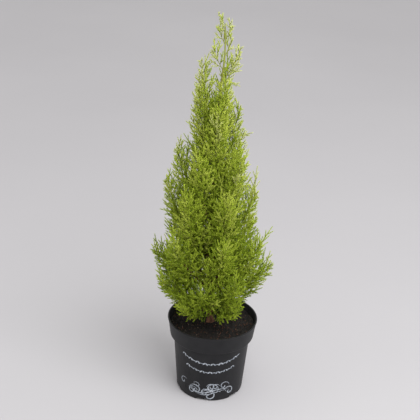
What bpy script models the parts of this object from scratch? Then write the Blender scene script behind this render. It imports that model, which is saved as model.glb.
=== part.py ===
"""Potted monterey cypress: a nursery pot of moist mix with one feathery dwarf conifer.

Metres, +Z up. The origin is the middle of the pot's flat underside, and -Y is the front.
"""
import math
import random

import bpy
import numpy as np

# Clear space between neighbouring solids
GAP = 0.0003

# Pot
POT_HEIGHT = 0.106
POT_RIM_RADIUS = 0.060
POT_BASE_RADIUS = 0.045
POT_WALL = 0.0015
POT_FLOOR = 0.0048
POT_SIDES = 32
BODY_HEIGHT = 0.081
BODY_TOP_RADIUS = 0.0512
COLLAR_FOOT_RADIUS = 0.0562
LIP_HEIGHT = 0.0016
LIP_STEP = 0.0004
FOOT_ROUND = 0.0015
CHANNELS = 6
CHANNEL_TURN = -101.0
CHANNEL_WIDTH = 0.017
CHANNEL_HEIGHT = 0.0034
CHANNEL_INNER_END = 0.026
DRAIN_HOLE_RADIUS = 0.0035
DRAIN_HOLE_RING = 0.032
DIMPLE_TURN = -129.0
DIMPLE_RADIUS = 0.0055
DIMPLE_DEPTH = 0.0006
DIMPLE_HEIGHT = 0.0150

# Potting mix
MIX_TOP = 0.0965
MIX_SIDES = 16
MIX_RINGS = (0.050, 0.041, 0.031, 0.021, 0.012)
MIX_BUMP = 0.0016

# Trunk: height, then how far its middle stands from the pot's middle in X and in Y
GROUND = 0.0968
TRUNK_LINE = (
    (GROUND, -0.0030, 0.0020),
    (0.200, -0.0055, 0.0035),
    (0.300, -0.0070, 0.0020),
    (0.380, -0.0058, -0.0010),
    (0.430, -0.0032, 0.0000),
    (0.465, -0.0009, 0.0005),
    (0.499, -0.0019, 0.0000),
)
TRUNK_SIDES = 10
TRUNK_RINGS = 18
TRUNK_FOOT_RADIUS = 0.0042
TRUNK_TIP_RADIUS = 0.0006
FLARE_SPREAD = 0.0024
FLARE_HEIGHT = 0.007
FLARE_LOBES = 5

# Crown: height, then how far the foliage reaches from the crown's middle
CROWN_REACH = (
    (0.105, 0.040),
    (0.128, 0.055),
    (0.150, 0.068),
    (0.180, 0.073),
    (0.225, 0.071),
    (0.260, 0.062),
    (0.310, 0.054),
    (0.350, 0.045),
    (0.390, 0.031),
    (0.420, 0.026),
    (0.450, 0.018),
    (0.520, 0.006),
)
CROWN_MIDDLE = ((0.105, -0.003, 0.0), (0.180, -0.009, 0.0), (0.380, -0.009, 0.0), (0.520, -0.002, 0.0))

# Tiers of foliage from the ground up: name, masses, first azimuth, root height, tip height,
# share of the stem that is bough, how high the stem's elbow lies between root and tip, fullness
TIERS = (
    ("skirt", 5, 20.0, 0.111, 0.142, 0.00, 0.62, 0.85),
    ("low", 7, 0.0, 0.121, 0.180, 0.24, 0.50, 1.00),
    ("belly", 7, 26.0, 0.144, 0.235, 0.26, 0.42, 1.00),
    ("waist", 6, 0.0, 0.184, 0.292, 0.00, 0.38, 0.95),
    ("breast", 5, 36.0, 0.228, 0.346, 0.00, 0.36, 0.95),
    ("shoulder", 4, 10.0, 0.278, 0.398, 0.00, 0.36, 0.80),
    ("neck", 3, 60.0, 0.335, 0.440, 0.00, 0.36, 0.70),
)
AZIMUTH_PLAY = 7.0
HEIGHT_PLAY = 0.006
REACH_PLAY = 0.06

# Small shoots round the leader: root height, then the tip's X, Y and height
TOP_SHOOTS = (
    (0.431, 0.0173, 0.0020, 0.4715),
    (0.446, -0.0160, -0.0030, 0.4775),
    (0.463, 0.0070, 0.0040, 0.4850),
    (0.477, -0.0105, 0.0020, 0.4990),
    (0.484, 0.0066, -0.0020, 0.5005),
)
LEADER = ((-0.0019, 0.0, 0.4993), (-0.0046, 0.0, 0.5070), (-0.0112, 0.0, 0.5150))

# Tips that stand out of the outline, and the low ones over the mix: X, Y and height
STANDING_OUT = (
    (-0.0283, 0.003, 0.4566),
    (-0.0294, -0.004, 0.4207),
    (-0.0349, 0.004, 0.4066),
    (-0.0438, -0.003, 0.3806),
    (-0.0545, 0.004, 0.3447),
    (-0.0672, -0.004, 0.3025),
    (-0.0739, 0.006, 0.2578),
    (-0.0807, -0.006, 0.2044),
    (0.0186, 0.003, 0.4267),
    (0.0371, -0.004, 0.3702),
    (0.0468, 0.004, 0.3230),
    (0.0704, -0.004, 0.2439),
    (0.0733, 0.006, 0.1830),
    (-0.0435, 0.012, 0.1080),
    (-0.0110, -0.020, 0.1085),
    (0.0150, -0.016, 0.1085),
    (0.0370, -0.004, 0.1080),
)
AIM_RANGE = 0.026

# Stem and toothed core of a mass
STEM_RADIUS = 0.0015
CORE_SIDES = 5
CORE_RADIUS = 0.0036
CORE_ROW = 0.0135
CORE_SWELL_POWER = 0.75
TOOTH_OUT = 0.0085
TOOTH_FORWARD = 0.0095
RING_TWIST = 0.45
SMALL_MASS = 0.6

# Side shoots, each with rows of needles
SHOOT_SPACING = 0.0145
SHOOT_TURN = 137.5
SHOOT_ANGLE = 44.0
SHOOT_LONG = 0.042
SHOOT_SHORT = 0.014
SHOOT_RADIUS = 0.0014
SHOOT_TIP_RADIUS = 0.0010
SHOOT_LIFT = 0.22
LEAST_SHOOT = 0.010
TWO_ROWS_FROM = 0.026
NEEDLE_OUT = 0.0055
NEEDLE_FORWARD = 0.0050

# Clear space round a mass
SPACE_MARGIN = 0.0010
LIMB_MARGIN = 0.0006
RIM_MARGIN = 0.006
SEED = 41

# Boughs
BOUGH_SIDES = 6
BOUGH_RADIUS = 0.0019
BOUGH_TIP_RADIUS = 0.0014

# Finishes: colour, roughness
POT_FINISH = ((0.032, 0.033, 0.037), 0.48)
MIX_FINISH = ((0.016, 0.011, 0.008), 0.95)
BARK_FINISH = ((0.210, 0.090, 0.045), 0.85)
FOLIAGE_FINISH = ((0.270, 0.400, 0.035), 0.60)
TOP_FOLIAGE_FINISH = ((0.420, 0.520, 0.100), 0.60)


def clear_scene():
    for thing in list(bpy.data.objects):
        bpy.data.objects.remove(thing, do_unlink=True)


def finish(thing, colour, roughness):
    """A plain material of the part's own."""
    material = bpy.data.materials.new(thing.name)
    material.use_nodes = True
    shader = material.node_tree.nodes["Principled BSDF"]
    shader.inputs["Base Color"].default_value = (*colour, 1.0)
    shader.inputs["Roughness"].default_value = roughness
    shader.inputs["Metallic"].default_value = 0.0
    thing.data.materials.clear()
    thing.data.materials.append(material)


def solid(name, points, faces):
    mesh = bpy.data.meshes.new(name)
    mesh.from_pydata([tuple(point) for point in points], [], faces)
    mesh.validate()
    thing = bpy.data.objects.new(name, mesh)
    bpy.context.scene.collection.objects.link(thing)
    return thing


def largest_piece(mesh):
    """Drops loose scraps and the skins of sealed hollows: only the widest body stays."""
    count = len(mesh.vertices)
    body = np.arange(count)
    edges = np.array([edge.vertices[:] for edge in mesh.edges])
    while True:
        low = np.minimum(body[edges[:, 0]], body[edges[:, 1]])
        before = body.copy()
        np.minimum.at(body, edges[:, 0], low)
        np.minimum.at(body, edges[:, 1], low)
        body = body[body]
        if np.array_equal(before, body):
            break
    kept = np.bincount(body).argmax()
    index = np.cumsum(body == kept) - 1
    points = [vertex.co[:] for vertex in mesh.vertices if body[vertex.index] == kept]
    faces = [[int(index[i]) for i in face.vertices] for face in mesh.polygons if body[face.vertices[0]] == kept]
    clean = bpy.data.meshes.new(mesh.name)
    clean.from_pydata(points, [], faces)
    return clean


def fuse(thing, others, operation="UNION", solver="EXACT"):
    """One Boolean on a collection of the others, which then go."""
    group = bpy.data.collections.new(thing.name + "_others")
    for other in others:
        group.objects.link(other)
    boolean = thing.modifiers.new("fuse", "BOOLEAN")
    boolean.operation = operation
    boolean.solver = solver
    boolean.operand_type = "COLLECTION"
    boolean.collection = group
    result = bpy.data.meshes.new_from_object(thing.evaluated_get(bpy.context.evaluated_depsgraph_get()))
    thing.modifiers.clear()
    thing.data = largest_piece(result)
    for other in others:
        bpy.data.objects.remove(other, do_unlink=True)
    bpy.data.collections.remove(group)


def smooth_read(table, height):
    """A smooth curve through the table's rows, read at a height."""
    rows = np.array(table)
    slopes = np.gradient(rows[:, 1:], rows[:, 0], axis=0)
    step = int(np.clip(np.searchsorted(rows[:, 0], height) - 1, 0, len(rows) - 2))
    span = rows[step + 1, 0] - rows[step, 0]
    t = float(np.clip((height - rows[step, 0]) / span, 0.0, 1.0))
    near = (2 * t**3 - 3 * t**2 + 1) * rows[step, 1:] + (t**3 - 2 * t**2 + t) * span * slopes[step]
    far = (3 * t**2 - 2 * t**3) * rows[step + 1, 1:] + (t**3 - t**2) * span * slopes[step + 1]
    return near + far


def unit(vector):
    return vector / np.linalg.norm(vector)


# Pot and mix


def turned(name, profile, sides):
    """Turns a profile of (radius, height) pairs that starts and ends on the axis."""
    points = [(0.0, 0.0, profile[0][1])]
    for radius, height in profile[1:-1]:
        for side in range(sides):
            angle = math.tau * side / sides
            points.append((radius * math.cos(angle), radius * math.sin(angle), height))
    points.append((0.0, 0.0, profile[-1][1]))
    faces = []
    rings = len(profile) - 2
    for side in range(sides):
        after = (side + 1) % sides
        faces.append((0, 1 + after, 1 + side))
        for ring in range(rings - 1):
            lower = 1 + ring * sides
            upper = lower + sides
            faces.append((lower + side, lower + after, upper + after, upper + side))
        last = 1 + (rings - 1) * sides
        faces.append((last + side, last + after, len(points) - 1))
    return solid(name, points, faces)


def pot_outside():
    lip = POT_HEIGHT - LIP_HEIGHT
    return [
        (POT_BASE_RADIUS - FOOT_ROUND, 0.0),
        (POT_BASE_RADIUS, FOOT_ROUND),
        (BODY_TOP_RADIUS, BODY_HEIGHT - GAP),
        (COLLAR_FOOT_RADIUS, BODY_HEIGHT),
        (POT_RIM_RADIUS - LIP_STEP, lip - LIP_STEP),
        (POT_RIM_RADIUS, lip),
        (POT_RIM_RADIUS, POT_HEIGHT),
    ]


def pot_inside(extra=0.0):
    """The inner wall from the rim down to the floor, drawn in by an extra amount."""
    ledge = BODY_HEIGHT + POT_WALL
    return [
        (POT_RIM_RADIUS - POT_WALL - LIP_STEP - extra, POT_HEIGHT),
        (COLLAR_FOOT_RADIUS - POT_WALL - extra, ledge + extra),
        (BODY_TOP_RADIUS - POT_WALL - extra, ledge - LIP_STEP + extra),
        (POT_BASE_RADIUS - POT_WALL - extra, POT_FLOOR + extra),
    ]


def turned_box(name, centre, size, azimuth):
    """A box that lies along the azimuth."""
    turn = math.radians(azimuth)
    corners = []
    for x in (-0.5, 0.5):
        for y in (-0.5, 0.5):
            for z in (-0.5, 0.5):
                along = centre[0] + x * size[0]
                across = y * size[1]
                corners.append((
                    along * math.cos(turn) - across * math.sin(turn),
                    along * math.sin(turn) + across * math.cos(turn),
                    centre[1] + z * size[2],
                ))
    faces = [(0, 1, 3, 2), (4, 6, 7, 5), (0, 4, 5, 1), (2, 3, 7, 6), (0, 2, 6, 4), (1, 5, 7, 3)]
    return solid(name, corners, faces)


def rod(name, start, end, radius, sides=12):
    start = np.array(start)
    end = np.array(end)
    along = unit(end - start)
    side = unit(np.cross(along, (0.3, 0.5, 0.8)))
    return limb(name, [start, end], [radius, radius], side, sides)


def make_pot():
    pot = turned("pot", [(0.0, 0.0)] + pot_outside() + pot_inside() + [(0.0, POT_FLOOR)], POT_SIDES)
    cutters = []
    channel_length = POT_BASE_RADIUS - CHANNEL_INNER_END + 2 * POT_WALL
    for count in range(CHANNELS):
        azimuth = CHANNEL_TURN + 360.0 * count / CHANNELS
        middle = (CHANNEL_INNER_END + channel_length / 2, 0.0)
        size = (channel_length, CHANNEL_WIDTH, 2 * CHANNEL_HEIGHT)
        cutters.append(turned_box(f"channel_{count}", middle, size, azimuth))
        turn = math.radians(azimuth)
        x = DRAIN_HOLE_RING * math.cos(turn)
        y = DRAIN_HOLE_RING * math.sin(turn)
        start = (x, y, CHANNEL_HEIGHT / 2)
        end = (x, y, POT_FLOOR + POT_WALL)
        cutters.append(rod(f"hole_{count}", start, end, DRAIN_HOLE_RADIUS))
        turn = math.radians(DIMPLE_TURN + 360.0 * count / CHANNELS)
        wall = POT_BASE_RADIUS + (BODY_TOP_RADIUS - POT_BASE_RADIUS) * DIMPLE_HEIGHT / BODY_HEIGHT
        near = wall - DIMPLE_DEPTH
        far = wall + 2 * POT_WALL
        start = (near * math.cos(turn), near * math.sin(turn), DIMPLE_HEIGHT)
        end = (far * math.cos(turn), far * math.sin(turn), DIMPLE_HEIGHT)
        cutters.append(rod(f"dimple_{count}", start, end, DIMPLE_RADIUS))
    fuse(pot, cutters, "DIFFERENCE")
    pot.data.shade_smooth()
    pot.data.set_sharp_from_angle(angle=math.radians(32))
    finish(pot, *POT_FINISH)


def make_mix():
    rng = random.Random(SEED)
    wall = pot_inside(GAP)
    edge = wall[1][0] + (wall[0][0] - wall[1][0]) * (MIX_TOP - wall[1][1]) / (POT_HEIGHT - wall[1][1])
    profile = [(0.0, wall[3][1])] + wall[:0:-1] + [(edge, MIX_TOP)]
    profile += [(radius, MIX_TOP) for radius in MIX_RINGS] + [(0.0, MIX_TOP)]
    mix = turned("potting_mix", profile, MIX_SIDES)
    for vertex in mix.data.vertices:
        radius = math.hypot(vertex.co.x, vertex.co.y)
        if vertex.co.z > MIX_TOP - GAP and radius > MIX_RINGS[-1] + GAP:
            vertex.co.z += rng.uniform(-MIX_BUMP, MIX_BUMP)
    finish(mix, *MIX_FINISH)


# Trunk and boughs


def limb(name, line, radii, side, sides):
    """A round limb along a line of points, with flat ends."""
    line = np.array(line)
    tangents = np.gradient(line, axis=0)
    points = []
    for middle, tangent, radius in zip(line, tangents, radii):
        across = unit(side - unit(tangent) * np.dot(side, unit(tangent)))
        up = np.cross(unit(tangent), across)
        for count in range(sides):
            angle = math.tau * count / sides
            points.append(middle + radius * (math.cos(angle) * across + math.sin(angle) * up))
    faces = [tuple(reversed(range(sides)))]
    for ring in range(len(line) - 1):
        low = ring * sides
        for count in range(sides):
            after = (count + 1) % sides
            faces.append((low + count, low + after, low + sides + after, low + sides + count))
    faces.append(tuple(range((len(line) - 1) * sides, len(line) * sides)))
    return solid(name, points, faces)


def trunk_middle(height):
    x, y = smooth_read(TRUNK_LINE, height)
    return np.array((x, y, height))


def trunk_radius(height):
    top = TRUNK_LINE[-1][0]
    share = np.clip((top - height) / (top - GROUND), 0.0, 1.0)
    flare = FLARE_SPREAD * math.exp(-(height - GROUND) / FLARE_HEIGHT)
    return TRUNK_TIP_RADIUS + (TRUNK_FOOT_RADIUS - TRUNK_TIP_RADIUS) * share**0.85 + flare


def make_trunk():
    top = TRUNK_LINE[-1][0]
    shares = np.linspace(0.0, 1.0, TRUNK_RINGS) ** 1.6
    heights = GROUND + (top - GROUND) * shares
    points = []
    for height in heights:
        middle = trunk_middle(height)
        lobe = 0.22 * math.exp(-(height - GROUND) / FLARE_HEIGHT)
        for count in range(TRUNK_SIDES):
            angle = math.tau * count / TRUNK_SIDES
            radius = trunk_radius(height) * (1.0 - lobe * (0.5 - 0.5 * math.cos(FLARE_LOBES * angle)))
            points.append(middle + radius * np.array((math.cos(angle), math.sin(angle), 0.0)))
    faces = [tuple(reversed(range(TRUNK_SIDES)))]
    for ring in range(TRUNK_RINGS - 1):
        low = ring * TRUNK_SIDES
        for count in range(TRUNK_SIDES):
            after = (count + 1) % TRUNK_SIDES
            faces.append((low + count, low + after, low + TRUNK_SIDES + after, low + TRUNK_SIDES + count))
    faces.append(tuple(range((TRUNK_RINGS - 1) * TRUNK_SIDES, TRUNK_RINGS * TRUNK_SIDES)))
    trunk = solid("trunk", points, faces)
    trunk.data.shade_smooth()
    trunk.data.set_sharp_from_angle(angle=math.radians(50))
    finish(trunk, *BARK_FINISH)


# Stems: each mass grows along one


class Stem:
    """A curved line from the trunk to a mass's tip, with its sideways direction."""

    def __init__(self, name, root, elbow, tip, bough_share, size):
        self.name = name
        self.root = np.array(root)
        self.elbow = np.array(elbow)
        self.tip = np.array(tip)
        self.bough_share = bough_share
        self.size = size

    def settle(self):
        t = np.linspace(0.0, 1.0, 25)[:, None]
        self.line = (1 - t) ** 2 * self.root + 2 * t * (1 - t) * self.elbow + t**2 * self.tip
        steps = np.linalg.norm(np.diff(self.line, axis=0), axis=1)
        self.reach = np.concatenate(([0.0], np.cumsum(steps)))
        self.length = self.reach[-1]
        out = self.tip - self.root
        self.side = unit(np.array((-out[1], out[0], 0.0)))

    def at(self, distance):
        return np.array([np.interp(distance, self.reach, self.line[:, axis]) for axis in range(3)])

    def heading(self, distance):
        step = self.length / 50
        return unit(self.at(min(distance + step, self.length)) - self.at(max(distance - step, 0.0)))

    def start(self, radius):
        """Where a limb of this radius comes clear of the trunk."""
        distance = 0.0
        while distance < self.length:
            heading = self.heading(distance)
            up = np.cross(heading, self.side)
            clear = True
            for turn in np.linspace(0.0, math.tau, 12, endpoint=False):
                point = self.at(distance) + radius * (math.cos(turn) * self.side + math.sin(turn) * up)
                apart = np.linalg.norm((point - trunk_middle(point[2]))[:2])
                clear = clear and apart > trunk_radius(point[2]) + GAP
            if clear:
                return distance
            distance += 0.0001
        return distance


def crown_tip(height, azimuth, share):
    """A point out at the crown's edge."""
    reach = smooth_read(CROWN_REACH, height)[0] * share
    x, y = smooth_read(CROWN_MIDDLE, height)
    turn = math.radians(azimuth)
    return np.array((x + reach * math.cos(turn), y + reach * math.sin(turn), height))


def elbow_between(root, tip, rise):
    return np.array((
        root[0] + 0.58 * (tip[0] - root[0]),
        root[1] + 0.58 * (tip[1] - root[1]),
        root[2] + rise * (tip[2] - root[2]),
    ))


def tier_stems():
    stems = []
    for tier, (name, count, first, root_height, tip_height, bough_share, rise, size) in enumerate(TIERS):
        for number in range(count):
            rng = random.Random(SEED * 1000 + tier * 100 + number)
            azimuth = first + 360.0 * number / count + rng.uniform(-AZIMUTH_PLAY, AZIMUTH_PLAY)
            height = tip_height + rng.uniform(-HEIGHT_PLAY, HEIGHT_PLAY)
            share = 1.0 + rng.uniform(-REACH_PLAY, REACH_PLAY)
            root = trunk_middle(root_height + rng.uniform(-0.3, 0.3) * HEIGHT_PLAY)
            tip = crown_tip(height, azimuth, share)
            elbow = elbow_between(root, tip, rise)
            stems.append(Stem(f"{name}_{number + 1}", root, elbow, tip, bough_share, size))
    return stems


def aim_at_tips(stems):
    """Nearby stems are bent out to the tips that stand out. What no stem takes is given back."""
    free = list(stems)
    left = []
    for x, y, z in STANDING_OUT:
        target = np.array((x, y, z))
        nearest = min(free, key=lambda stem: np.linalg.norm(stem.tip - target))
        if np.linalg.norm(nearest.tip - target) < AIM_RANGE:
            nearest.elbow += 0.4 * (target - nearest.tip)
            nearest.tip = target
            free.remove(nearest)
        else:
            left.append(target)
    return left


def top_stems():
    stems = []
    for number, (root_height, x, y, z) in enumerate(TOP_SHOOTS):
        root = trunk_middle(root_height)
        tip = np.array((x, y, z))
        stems.append(Stem(f"top_{number + 1}", root, elbow_between(root, tip, 0.40), tip, 0.0, 0.42))
    root, elbow, tip = LEADER
    stems.append(Stem("leader", root, elbow, tip, 0.0, 0.35))
    return stems


def make_bough(stem):
    """One tapering limb from the trunk to where it enters its mass."""
    start = stem.start(BOUGH_RADIUS)
    end = stem.bough_share * stem.length
    stops = np.linspace(start, end, 5)
    radii = np.linspace(BOUGH_RADIUS, BOUGH_TIP_RADIUS, 5)
    bough = limb("bough_" + stem.name, [stem.at(stop) for stop in stops], radii, stem.side, BOUGH_SIDES)
    bough.data.shade_smooth()
    bough.data.set_sharp_from_angle(angle=math.radians(65))
    finish(bough, *BARK_FINISH)


# Foliage: every mass is a stem with a slim core, and both the core and its side shoots are toothed with needles


def shoot_shape(line, radii, side, sides, teeth, flat_root=False):
    """A faceted shoot along a line, sharp at its tip. Each face between its rings is drawn out into a tooth."""
    line = np.array(line)
    rings = line[:-1] if flat_root else line[1:-1]
    tangents = np.gradient(line, axis=0)[:-1] if flat_root else np.gradient(line, axis=0)[1:-1]
    points = []
    for ring, (middle, tangent) in enumerate(zip(rings, tangents)):
        along = unit(tangent)
        across = unit(side - along * np.dot(side, along))
        up = np.cross(along, across)
        for corner in range(sides):
            angle = math.tau * corner / sides + RING_TWIST * ring
            points.append(middle + radii[ring] * (math.cos(angle) * across + math.sin(angle) * up))
    tip = len(points)
    points.append(line[-1])
    faces = []
    if flat_root:
        faces.append(tuple(reversed(range(sides))))
    else:
        points.append(line[0])
        faces += [((corner + 1) % sides, corner, tip + 1) for corner in range(sides)]
    for ring in range(len(rings) - 1):
        low = sides * ring
        along = unit(rings[ring + 1] - rings[ring])
        for corner in range(sides):
            after = (corner + 1) % sides
            quad = (low + corner, low + after, low + sides + after, low + sides + corner)
            middle = sum(points[i] for i in quad) / 4
            out = middle - (rings[ring] + rings[ring + 1]) / 2
            out = unit(out - along * np.dot(out, along))
            reach_out, reach_on = teeth[ring][corner]
            needle = len(points)
            points.append(middle + reach_out * out + reach_on * along)
            for near, far in ((0, 1), (1, 2), (2, 3), (3, 0)):
                faces.append((quad[near], quad[far], needle))
    low = sides * (len(rings) - 1)
    faces += [(low + corner, low + (corner + 1) % sides, tip) for corner in range(sides)]
    return np.array(points), faces


class Space:
    """Keeps each mass to the space nearest its own stem, clear of trunk, boughs, pot and mix."""

    def __init__(self, stems):
        self.near = np.concatenate([stem.line[0:-1:3] for stem in stems])
        self.far = np.concatenate([stem.line[3::3] for stem in stems])
        self.owner = np.repeat(np.arange(len(stems)), 8)
        self.boughs = []
        for stem in stems:
            if stem.bough_share:
                stops = np.linspace(0.0, stem.bough_share * stem.length, 5)
                self.boughs.append(np.array([stem.at(stop) for stop in stops]))

    def distances(self, points, near, far):
        along = far - near
        offset = points[:, None, :] - near
        share = np.clip((offset * along).sum(axis=2) / (along**2).sum(axis=1), 0.0, 1.0)
        return np.linalg.norm(offset - share[..., None] * along, axis=2)

    def free_radius(self, point, own):
        """How thick a stem may be here."""
        apart = self.distances(point[None, :], self.near, self.far)[0]
        return 0.5 * (apart[self.owner != own].min() - SPACE_MARGIN)

    def holds(self, tests, own):
        heights = tests[:, 2]
        if heights.min() < MIX_TOP + 2 * MIX_BUMP:
            return False
        wide = np.hypot(tests[:, 0], tests[:, 1]) > POT_RIM_RADIUS - RIM_MARGIN
        if wide.any() and heights[wide].min() < POT_HEIGHT + RIM_MARGIN / 3:
            return False
        for point in tests:
            if point[2] < TRUNK_LINE[-1][0]:
                apart = np.linalg.norm((point - trunk_middle(point[2]))[:2])
                if apart < trunk_radius(point[2]) + LIMB_MARGIN:
                    return False
        for bough in self.boughs:
            if self.distances(tests, bough[:-1], bough[1:]).min() < BOUGH_RADIUS + LIMB_MARGIN:
                return False
        apart = self.distances(tests, self.near, self.far)
        mine = apart[:, self.owner == own].min(axis=1)
        others = apart[:, self.owner != own].min(axis=1)
        return (others - mine).min() > SPACE_MARGIN and others.min() > STEM_RADIUS + LIMB_MARGIN


def edge_points(points, faces):
    """The corners of a shape and points along its edges."""
    tests = [points]
    corners = points[np.array([face for face in faces if len(face) == 3])]
    for share in (0.25, 0.5, 0.75):
        tests.append(share * corners[:, 0] + (1 - share) * corners[:, 1])
        tests.append(share * corners[:, 1] + (1 - share) * corners[:, 2])
        tests.append(share * corners[:, 2] + (1 - share) * corners[:, 0])
    return np.concatenate(tests)


def even_teeth(rows, sides, size):
    return [[(size * NEEDLE_OUT, size * NEEDLE_FORWARD)] * sides] * rows


def side_shoot(stem, place, direction, length):
    """A side shoot that turns up a little as it goes."""
    root = stem.at(place)
    turned = unit(direction + np.array((0.0, 0.0, SHOOT_LIFT)))
    middle = root + 0.5 * length * direction
    end = middle + 0.5 * length * turned
    two_rows = length > TWO_ROWS_FROM
    line = [root, root + 0.22 * length * direction, middle + 0.12 * length * turned, end]
    radii = [SHOOT_RADIUS, SHOOT_TIP_RADIUS]
    if two_rows:
        line = [root, root + 0.2 * length * direction, middle, middle + 0.28 * length * turned, end]
        radii = [SHOOT_RADIUS, SHOOT_RADIUS, SHOOT_TIP_RADIUS]
    radii = [radius * stem.size**0.5 for radius in radii]
    side = unit(np.cross(direction, (0.31, 0.22, 0.92)))
    return shoot_shape(line, radii, side, 3, even_teeth(len(radii) - 1, 3, stem.size))


def side_shoots(stem, number, space):
    """The seeded rule of a mass: shoots wind round the stem and grow shorter towards its tip."""
    rng = random.Random(SEED * 100 + number)
    shoots = []
    phase = rng.uniform(0.0, 360.0)
    spacing = SHOOT_SPACING * stem.size**0.5
    count = int((0.92 * stem.length - stem.first) / spacing)
    for step in range(count):
        place = stem.first + (step + 0.4 + 0.2 * rng.random()) * spacing
        around = math.radians(phase + step * SHOOT_TURN + rng.uniform(-15.0, 15.0))
        open_angle = math.radians(SHOOT_ANGLE + rng.uniform(-6.0, 6.0))
        share = place / stem.length
        length = stem.size * (SHOOT_SHORT + (SHOOT_LONG - SHOOT_SHORT) * (1.0 - share) ** 0.7)
        length *= rng.uniform(0.9, 1.1)
        heading = stem.heading(place)
        outward = np.cross(stem.side, heading)
        sideways = math.cos(around) * stem.side + math.sin(around) * outward
        direction = unit(math.cos(open_angle) * heading + math.sin(open_angle) * sideways)
        for share in (1.0, 0.8, 0.62, 0.45):
            if share * length < LEAST_SHOOT * stem.size:
                break
            points, faces = side_shoot(stem, place, direction, share * length)
            if space.holds(edge_points(points, faces), number):
                shoots.append((points, faces))
                break
    return shoots


def long_shoot(stems, target, space):
    """A shoot of its own for a tip that no stem reaches."""
    reaches = [np.linalg.norm(stem.line - target, axis=1).min() for stem in stems]
    for number in np.argsort(reaches)[:4]:
        stem = stems[number]
        nearest = stem.reach[np.linalg.norm(stem.line - target, axis=1).argmin()]
        place = max(nearest - 1.1 * reaches[number], stem.first + 0.004)
        root = stem.at(place)
        line = [root + share * (target - root) for share in (0.0, 0.2, 0.5, 0.78, 1.0)]
        side = unit(np.cross(target - root, (0.31, 0.22, 0.92)))
        radii = [SHOOT_RADIUS, SHOOT_RADIUS, SHOOT_TIP_RADIUS]
        points, faces = shoot_shape(line, radii, side, 3, even_teeth(2, 3, stem.size))
        if space.holds(edge_points(points, faces), number):
            stem.extra.append((points, faces))
            return


def core_shape(stem, number, space):
    """The stem of a mass with its slim toothed core."""
    rng = random.Random(SEED * 10 + number)
    sides = CORE_SIDES if stem.size > SMALL_MASS else 3
    grown = stem.length - stem.first
    rows = max(2, round(grown / (CORE_ROW * stem.size**0.5)))
    shares = np.linspace(0.0, 1.0, rows + 1)
    line = [stem.at(stem.first + share * grown) for share in shares]
    radii = []
    for share, middle in zip(shares, line):
        swell = CORE_RADIUS * stem.size * math.sin(math.pi * share**CORE_SWELL_POWER)
        radii.append(min(STEM_RADIUS * stem.size**0.5 + swell, space.free_radius(middle, number)))
    teeth = []
    for row in range(rows - 1):
        teeth.append([])
        for corner in range(sides):
            teeth[row].append((0.0002, 0.0))
    for row in range(rows - 1):
        fullness = stem.size * (0.65 + 0.35 * math.sin(math.pi * shares[row]))
        for corner in range(sides):
            length = fullness * rng.uniform(0.75, 1.2)
            for share in (1.0, 0.7, 0.45, 0.2):
                teeth[row][corner] = (share * length * TOOTH_OUT, share * length * TOOTH_FORWARD)
                points, _ = shoot_shape(line, radii, stem.side, sides, teeth, flat_root=True)
                tooth = points[rows * sides + 1 + row * sides + corner]
                if space.holds(tooth[None, :], number):
                    break
    return shoot_shape(line, radii, stem.side, sides, teeth, flat_root=True)


def make_mass(stem, number, space):
    mass = solid("foliage_" + stem.name, *core_shape(stem, number, space))
    shoots = side_shoots(stem, number, space) + stem.extra
    solids = [solid(f"{stem.name}_shoot_{count}", *shape) for count, shape in enumerate(shoots)]
    if solids:
        fuse(mass, solids)
    finish(mass, *(TOP_FOLIAGE_FINISH if stem.size < SMALL_MASS else FOLIAGE_FINISH))


def make_tree():
    stems = tier_stems()
    left_tips = aim_at_tips(stems)
    stems += top_stems()
    for stem in stems:
        stem.settle()
        stem.extra = []
        if stem.bough_share:
            stem.first = stem.bough_share * stem.length + GAP
        elif stem.name == "leader":
            stem.first = 0.0
        else:
            stem.first = stem.start(STEM_RADIUS * stem.size**0.5)
    space = Space(stems)
    for target in left_tips:
        long_shoot(stems, target, space)
    make_trunk()
    for stem in stems:
        if stem.bough_share:
            make_bough(stem)
    for number, stem in enumerate(stems):
        make_mass(stem, number, space)


clear_scene()
make_pot()
make_mix()
make_tree()
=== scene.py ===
"""A small feathery monterey cypress in its nursery pot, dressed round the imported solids."""
import math
import random

import bpy
import numpy as np
from mathutils import Matrix, Vector


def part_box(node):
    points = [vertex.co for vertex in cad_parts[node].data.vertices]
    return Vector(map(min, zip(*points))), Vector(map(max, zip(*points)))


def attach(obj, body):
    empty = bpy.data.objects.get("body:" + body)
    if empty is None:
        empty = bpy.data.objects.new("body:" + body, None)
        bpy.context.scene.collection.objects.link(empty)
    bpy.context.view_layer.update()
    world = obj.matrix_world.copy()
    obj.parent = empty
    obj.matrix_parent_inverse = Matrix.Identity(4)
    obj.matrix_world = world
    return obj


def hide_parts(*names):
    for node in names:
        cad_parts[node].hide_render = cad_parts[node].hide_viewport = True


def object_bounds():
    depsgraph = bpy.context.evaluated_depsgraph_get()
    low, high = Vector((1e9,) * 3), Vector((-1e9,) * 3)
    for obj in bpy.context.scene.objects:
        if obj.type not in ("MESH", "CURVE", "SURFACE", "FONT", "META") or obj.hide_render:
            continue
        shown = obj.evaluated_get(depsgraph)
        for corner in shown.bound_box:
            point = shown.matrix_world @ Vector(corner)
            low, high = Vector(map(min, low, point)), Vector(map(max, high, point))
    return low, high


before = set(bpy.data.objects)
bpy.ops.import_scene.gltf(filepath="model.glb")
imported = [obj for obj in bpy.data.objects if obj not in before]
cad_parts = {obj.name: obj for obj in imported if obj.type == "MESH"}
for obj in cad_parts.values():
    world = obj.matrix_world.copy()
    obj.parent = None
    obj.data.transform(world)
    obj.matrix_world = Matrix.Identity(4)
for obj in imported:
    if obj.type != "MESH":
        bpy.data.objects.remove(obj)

solid_box = [list(corner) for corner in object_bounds()]

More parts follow.
